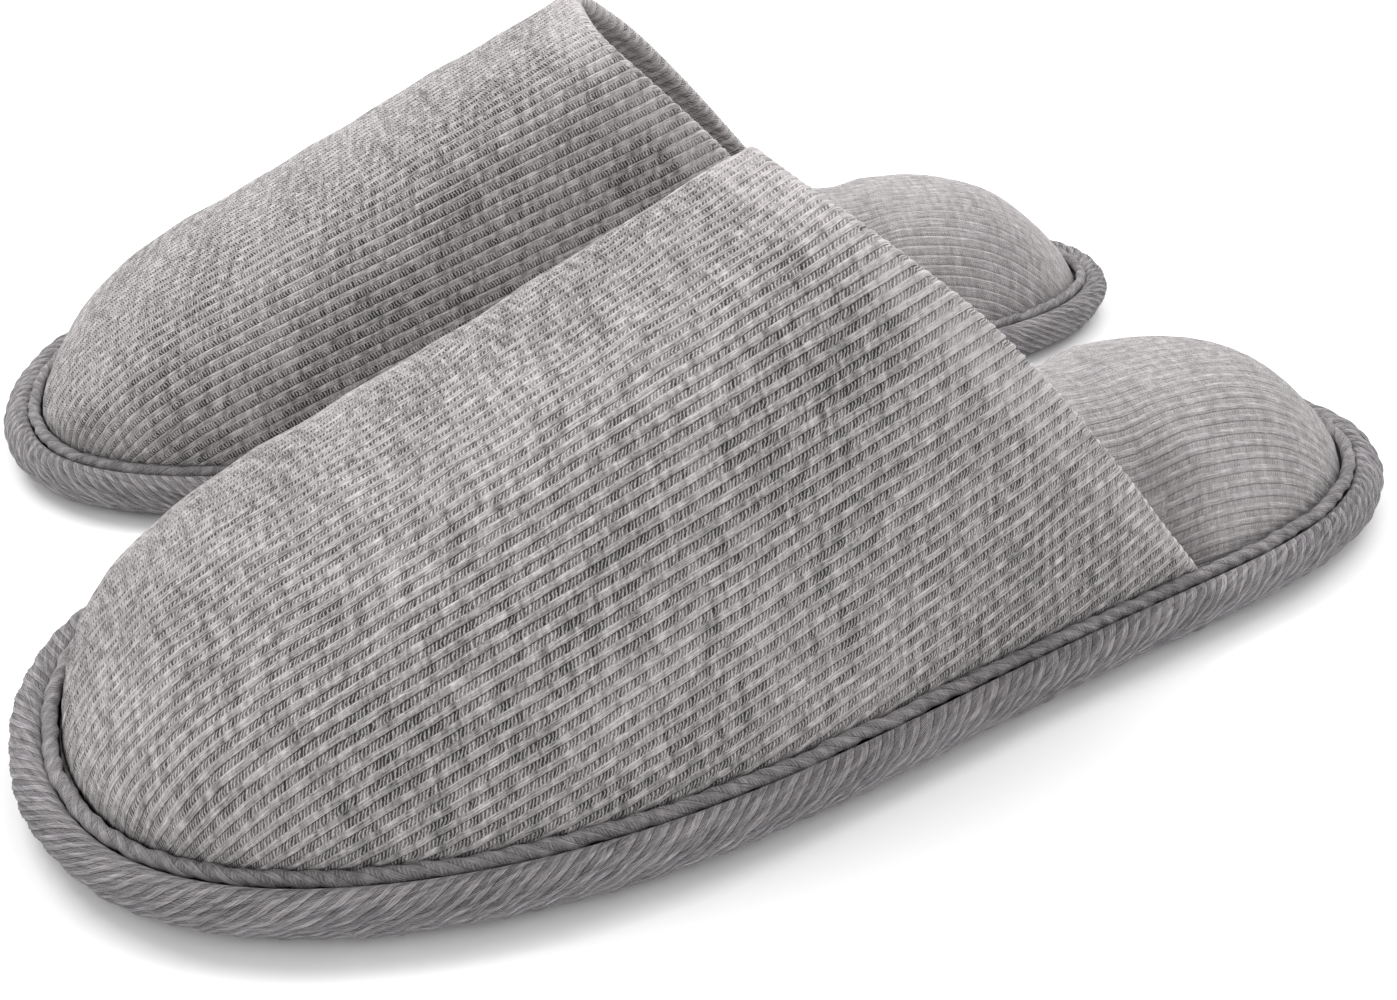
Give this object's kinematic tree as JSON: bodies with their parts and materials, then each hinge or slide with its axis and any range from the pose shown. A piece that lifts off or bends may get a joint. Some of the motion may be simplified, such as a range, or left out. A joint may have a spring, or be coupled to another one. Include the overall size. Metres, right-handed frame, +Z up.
{
  "type": "spa slippers",
  "caption": "Pair of padded closed-toe slip-on spa slippers in grey rib knit, with a domed footbed, piped welt, bound sole edge and open heel.",
  "frame": {"origin": "centre of the pair's box on the floor, under the gap between the two slippers", "axes": "+X from the toes to the heels, along the slippers; +Y from the left slipper to the right one; +Z up"},
  "size_m": [0.2722, 0.2438, 0.084],
  "materials": {
    "upper_knit": "matte",
    "footbed_knit": "matte",
    "binding_knit": "matte",
    "piping_knit": "matte",
    "lining_cloth": "matte",
    "wadding": "matte",
    "foam": "matte",
    "board_fibre": "matte",
    "sole_rubber": "matte"
  },
  "bodies": {
    "left_forepart": {"left_outsole_front": "sole_rubber", "left_insole_board_front": "board_fibre", "left_foam_pad_front": "foam", "left_footbed_cover_front": "footbed_knit", "left_edge_binding_front": "binding_knit", "left_welt_piping_front": "piping_knit", "left_upper_shell": "upper_knit", "left_upper_padding": "wadding", "left_upper_lining": "lining_cloth"},
    "left_heel": {"left_outsole_heel": "sole_rubber", "left_insole_board_heel": "board_fibre", "left_foam_pad_heel": "foam", "left_footbed_cover_heel": "footbed_knit", "left_edge_binding_heel": "binding_knit", "left_welt_piping_heel": "piping_knit"},
    "right_forepart": {"right_outsole_front": "sole_rubber", "right_insole_board_front": "board_fibre", "right_foam_pad_front": "foam", "right_footbed_cover_front": "footbed_knit", "right_edge_binding_front": "binding_knit", "right_welt_piping_front": "piping_knit", "right_upper_shell": "upper_knit", "right_upper_padding": "wadding", "right_upper_lining": "lining_cloth"},
    "right_heel": {"right_outsole_heel": "sole_rubber", "right_insole_board_heel": "board_fibre", "right_foam_pad_heel": "foam", "right_footbed_cover_heel": "footbed_knit", "right_edge_binding_heel": "binding_knit", "right_welt_piping_heel": "piping_knit"}
  },
  "joints": [
    {"name": "left_sole_flex", "type": "hinge", "parent": "left_forepart", "child": "left_heel", "pos_m": [0.08785, -0.06505, 0.0015], "axis": [0, -1, 0], "range_deg": [0, 35], "stiffness_Nm_per_rad": 0.6},
    {"name": "right_sole_flex", "type": "hinge", "parent": "right_forepart", "child": "right_heel", "pos_m": [0.09071, 0.03494, 0.0015], "axis": [-0.2079, -0.9781, 0], "range_deg": [0, 35], "stiffness_Nm_per_rad": 0.6},
    {"name": "right_slipper_lift", "type": "slide", "parent": "left_forepart", "child": "right_forepart", "axis": [0, 0, 1], "range_m": [0, 0.12]}
  ]
}
